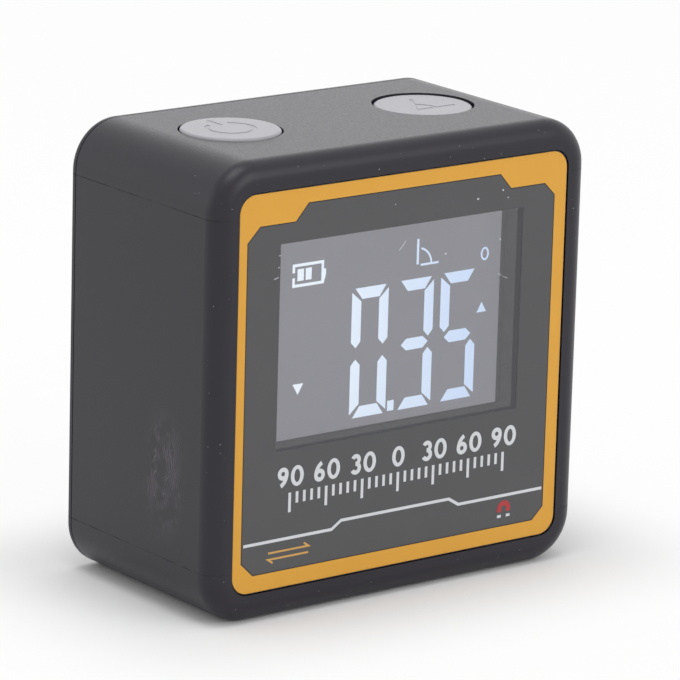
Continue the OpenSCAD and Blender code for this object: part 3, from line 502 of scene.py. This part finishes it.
looks = {
    "blackOxideSteel": (  # dull dark metal
        {"tones": ("#3a3a3c", "#434346"), "patch": 3, "grain": 0.15, "bump": 0.003, "rough": (0.35, 0.5),
         "Metallic": 1},
        ("cover_screws",)),
    "tapeTissue": (  # pale, quite matt
        {"tones": ("#dcdbd2", "#e6e5dd"), "patch": 2, "grain": 0.4, "bump": 0.01, "rough": (0.75, 0.9)},
        ("panel_adhesive",)),
    "mouldedNylon": (  # black, without shine
        {"tones": ("#141416", "#1b1b1d"), "patch": 6, "grain": 0.2, "bump": 0.006, "rough": (0.5, 0.65)},
        ("display_frame", "controller_chip", "buzzer", "board_link_header", "power_switch", "zero_switch")),
    "whitePolycarbonate": (  # white and satin
        {"tones": ("#e2e2dc", "#edede8"), "patch": 8, "grain": 0.4, "bump": 0.003, "rough": (0.3, 0.42)},
        ("backlight",)),
    "siliconeRubber": (  # dull pink with a fine drift of tone
        {"tones": ("#c98a90", "#d59aa0"), "patch": 0.4, "grain": 0.25, "bump": 0.01, "rough": (0.6, 0.75)},
        ("zebra_strip",)),
    "nickelSteel": (  # bright plate, a little soft
        {"tones": ("#b4b4b0", "#c2c2bf"), "patch": 4, "grain": 0.2, "bump": 0.002, "rough": (0.25, 0.38),
         "Metallic": 1},
        ("board_screws", "radio_shield", "timing_crystal", "positive_contact", "negative_contact", "link_contact",
         "contact_springs")),
    "goldFlash": (  # thin gold plate
        {"tones": ("#d8b160", "#e3bf72"), "patch": 3, "grain": 0.2, "bump": 0.002, "rough": (0.22, 0.34),
         "Metallic": 1},
        ("tilt_sensor", "battery_link_pins")),
    "sinteredFerrite": (  # dark grey and grainy
        {"tones": ("#434347", "#4e4e52"), "patch": 0.8, "grain": 0.15, "bump": 0.008, "rough": (0.55, 0.75)},
        ("power_inductor",)),
    "drawnAluminium": (  # pale smooth can
        {"tones": ("#b9babf", "#c6c7cb"), "patch": 3, "grain": 0.15, "bump": 0.002, "rough": (0.25, 0.35),
         "Metallic": 1},
        ("filter_capacitor",)),
    "acetalResin": (  # cream, slightly waxy
        {"tones": ("#d2cdbf", "#dad5c8"), "patch": 4, "grain": 0.25, "bump": 0.003, "rough": (0.35, 0.5)},
        ("power_plunger", "zero_plunger")),
    "nickelMagnet": (  # mirror-like plate
        {"tones": ("#b8babd", "#c5c7ca"), "patch": 5, "grain": 0.4, "bump": 0.001, "rough": (0.12, 0.22),
         "Metallic": 1},
        ("base_magnets",)),
    "greenBoard": (  # glossy lacquer over copper
        {"tones": ("#1c6a38", "#237a42"), "patch": 1.6, "grain": 0.6, "bump": 0.02, "rough": (0.25, 0.4)},
        ("main_board", "button_board")),
    "blueBoard": (  # the same lacquer in blue
        {"tones": ("#1a4a78", "#215688"), "patch": 1.2, "grain": 0.5, "bump": 0.02, "rough": (0.25, 0.4)},
        ("radio_module",)),
    "printedCellFilm": (  # smooth shrunk film
        {"tones": ("#3a7f4a", "#428a52"), "patch": 8, "grain": 0.5, "bump": 0.003, "rough": (0.25, 0.35)},
        ("upper_cell", "lower_cell")),
}
finishes = {}
for name, (look, used) in looks.items():
    finishes[name] = finish(name, **look)
    for node in used:
        nodes[node].data.materials[0] = finishes[name]["material"]
# the cells' film: a dark band at both ends, and bare steel where the film stops
cellLook = {"steel": 1.3, "band": 7, "steelTone": "#b3b4b2", "bandTone": "#17181a"}
cellFilm = finishes["printedCellFilm"]
tree = cellFilm["tree"]
low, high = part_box("upper_cell")
half = (high.x - low.x) / 2
axes = add(tree, "ShaderNodeSeparateXYZ", {0: cellFilm["place"]}).outputs
along = add(tree, "ShaderNodeMath", {0: axes[0], 1: (low.x + high.x) / 2}, operation="SUBTRACT")
along = add(tree, "ShaderNodeMath", {0: along.outputs[0]}, operation="ABSOLUTE")
banded = add(tree, "ShaderNodeMath", {0: along.outputs[0], 1: half - cellLook["band"] * mm}, operation="GREATER_THAN")
bare = add(tree, "ShaderNodeMath", {0: along.outputs[0], 1: half - cellLook["steel"] * mm}, operation="GREATER_THAN")
mixed = add(tree, "ShaderNodeMix", {0: banded.outputs[0], 6: cellFilm["colour"], 7: tone(cellLook["bandTone"])},
            data_type="RGBA")
mixed = add(tree, "ShaderNodeMix", {0: bare.outputs[0], 6: mixed.outputs[2], 7: tone(cellLook["steelTone"])},
            data_type="RGBA")
tree.links.new(mixed.outputs[2], cellFilm["shader"].inputs["Base Color"])
tree.links.new(bare.outputs[0], cellFilm["shader"].inputs["Metallic"])
print("inner parts dressed")

# Stage: pale floor, white surround, soft lamps and the photograph's camera

floorLook = {"size": 6, "drop": 0.00004, "tone": "#fafafa", "glow": 0.86,  # size and drop in metres
             "foot": (30, 16), "near": 1, "far": 26, "hole": (22, 12)}  # in mm
# open below the flat of the base, so that light reaches the base when it is looked at from below
floorMesh = bpy.data.meshes.new("floor")
halves = ((floorLook["size"], floorLook["size"]), [v * mm for v in floorLook["hole"]])
corners = [(sx * w, sy * h, -floorLook["drop"]) for w, h in halves
           for sx, sy in ((-1, -1), (1, -1), (1, 1), (-1, 1))]
floorMesh.from_pydata(corners, [], [(i, (i + 1) % 4, (i + 1) % 4 + 4, i + 4) for i in range(4)])
floor = bpy.data.objects.new("floor", floorMesh)
scene.collection.objects.link(floor)
floorPaper = bpy.data.materials.new("paleFloorPaper")
floorPaper.use_nodes = True
tree = floorPaper.node_tree
tree.nodes.clear()
ray = add(tree, "ShaderNodeLightPath").outputs
seen = add(tree, "ShaderNodeMath", {0: ray["Is Camera Ray"], 1: ray["Is Glossy Ray"]}, operation="MAXIMUM")
seen = add(tree, "ShaderNodeMath", {0: seen.outputs[0], 1: ray["Is Transmission Ray"]}, operation="MAXIMUM")
# close to the object the floor keeps all of its shadow, further off it goes to plain white
place = add(tree, "ShaderNodeTexCoord").outputs["Object"]
folded = add(tree, "ShaderNodeVectorMath", {0: place}, operation="ABSOLUTE")
past = add(tree, "ShaderNodeVectorMath", {0: folded.outputs[0], 1: [v * mm for v in floorLook["foot"]] + [1]},
           operation="SUBTRACT")
past = add(tree, "ShaderNodeVectorMath", {0: past.outputs[0], 1: (0, 0, 0)}, operation="MAXIMUM")
reach = add(tree, "ShaderNodeVectorMath", {0: past.outputs[0]}, operation="LENGTH")
white = add(tree, "ShaderNodeMapRange", {0: reach.outputs["Value"], 1: floorLook["near"] * mm, 2: floorLook["far"] * mm,
                                         3: 0, 4: floorLook["glow"]}, interpolation_type="SMOOTHSTEP")
share = add(tree, "ShaderNodeMath", {0: seen.outputs[0], 1: white.outputs[0]}, operation="MULTIPLY")
matt = add(tree, "ShaderNodeBsdfDiffuse", {"Color": tone(floorLook["tone"])})
plain = add(tree, "ShaderNodeEmission", {"Color": (1, 1, 1, 1), "Strength": 1})
both = add(tree, "ShaderNodeMixShader", {0: share.outputs[0], 1: matt.outputs[0], 2: plain.outputs[0]})
clear = add(tree, "ShaderNodeBsdfTransparent")
under = add(tree, "ShaderNodeNewGeometry").outputs["Backfacing"]
# clear from below, so that the base can be seen
sided = add(tree, "ShaderNodeMixShader", {0: under, 1: both.outputs[0], 2: clear.outputs[0]})
add(tree, "ShaderNodeOutputMaterial", {"Surface": sided.outputs[0]})
floorMesh.materials.append(floorPaper)

surround = {"diffuse": 0.7}  # light from the surround on matt surfaces, and plain white where it is seen
world = bpy.data.worlds.new("whiteSurround")
scene.world = world
world.use_nodes = True
tree = world.node_tree
tree.nodes.clear()
ray = add(tree, "ShaderNodeLightPath").outputs
seen = add(tree, "ShaderNodeMath", {0: ray["Is Camera Ray"], 1: ray["Is Glossy Ray"]}, operation="MAXIMUM")
seen = add(tree, "ShaderNodeMath", {0: seen.outputs[0], 1: ray["Is Transmission Ray"]}, operation="MAXIMUM")
level = add(tree, "ShaderNodeMapRange", {0: seen.outputs[0], 1: 0, 2: 1, 3: surround["diffuse"], 4: 1})
sky = add(tree, "ShaderNodeBackground", {"Color": (1, 1, 1, 1), "Strength": level.outputs[0]})
add(tree, "ShaderNodeOutputWorld", {"Surface": sky.outputs[0]})

lamps = {"overhead": {"at": (-0.12, -0.05, 0.8), "size": 0.45, "power": 1.5},
         "leftBox": {"at": (-0.62, 0.4, 0.25), "size": 0.5, "power": 0.25},
         "frontBox": {"at": (0.25, -0.7, 0.4), "size": 0.5, "power": 1.2},
         "backBox": {"at": (0.55, 0.72, 0.3), "size": 0.55, "power": 0.4}}
target = Vector((0, 0, midZ * mm))
for name, lamp in lamps.items():
    light = bpy.data.lights.new(name, "AREA")
    light.shape = "SQUARE"
    light.size = lamp["size"]
    light.energy = lamp["power"]
    softBox = bpy.data.objects.new(name, light)
    softBox.location = lamp["at"]
    softBox.rotation_euler = (target - Vector(lamp["at"])).to_track_quat("-Z", "Y").to_euler()
    softBox.visible_camera = False
    scene.collection.objects.link(softBox)

# place in mm, and the directions of the picture's axes
shot = {"lens": 259.9048, "sensor": 36, "near": 10, "at": (-377.6988, -491.904, 195.9705),
        "right": (0.7956806, -0.605113, 0.0270304), "down": (-0.1354112, -0.2211977, -0.9657823),
        "forward": (0.5903864, 0.764794, -0.2579418)}
cameraData = bpy.data.cameras.new("photoCamera")
cameraData.lens = shot["lens"]
cameraData.sensor_width = shot["sensor"]
cameraData.clip_start = shot["near"] * mm
camera = bpy.data.objects.new("photoCamera", cameraData)
columns = [Vector(shot["right"]), -Vector(shot["down"]), -Vector(shot["forward"]), Vector(shot["at"]) * mm]
camera.matrix_world = Matrix([[c[i] for c in columns] for i in range(3)] + [[0, 0, 0, 1]])
scene.collection.objects.link(camera)
scene.camera = camera
print("stage set")
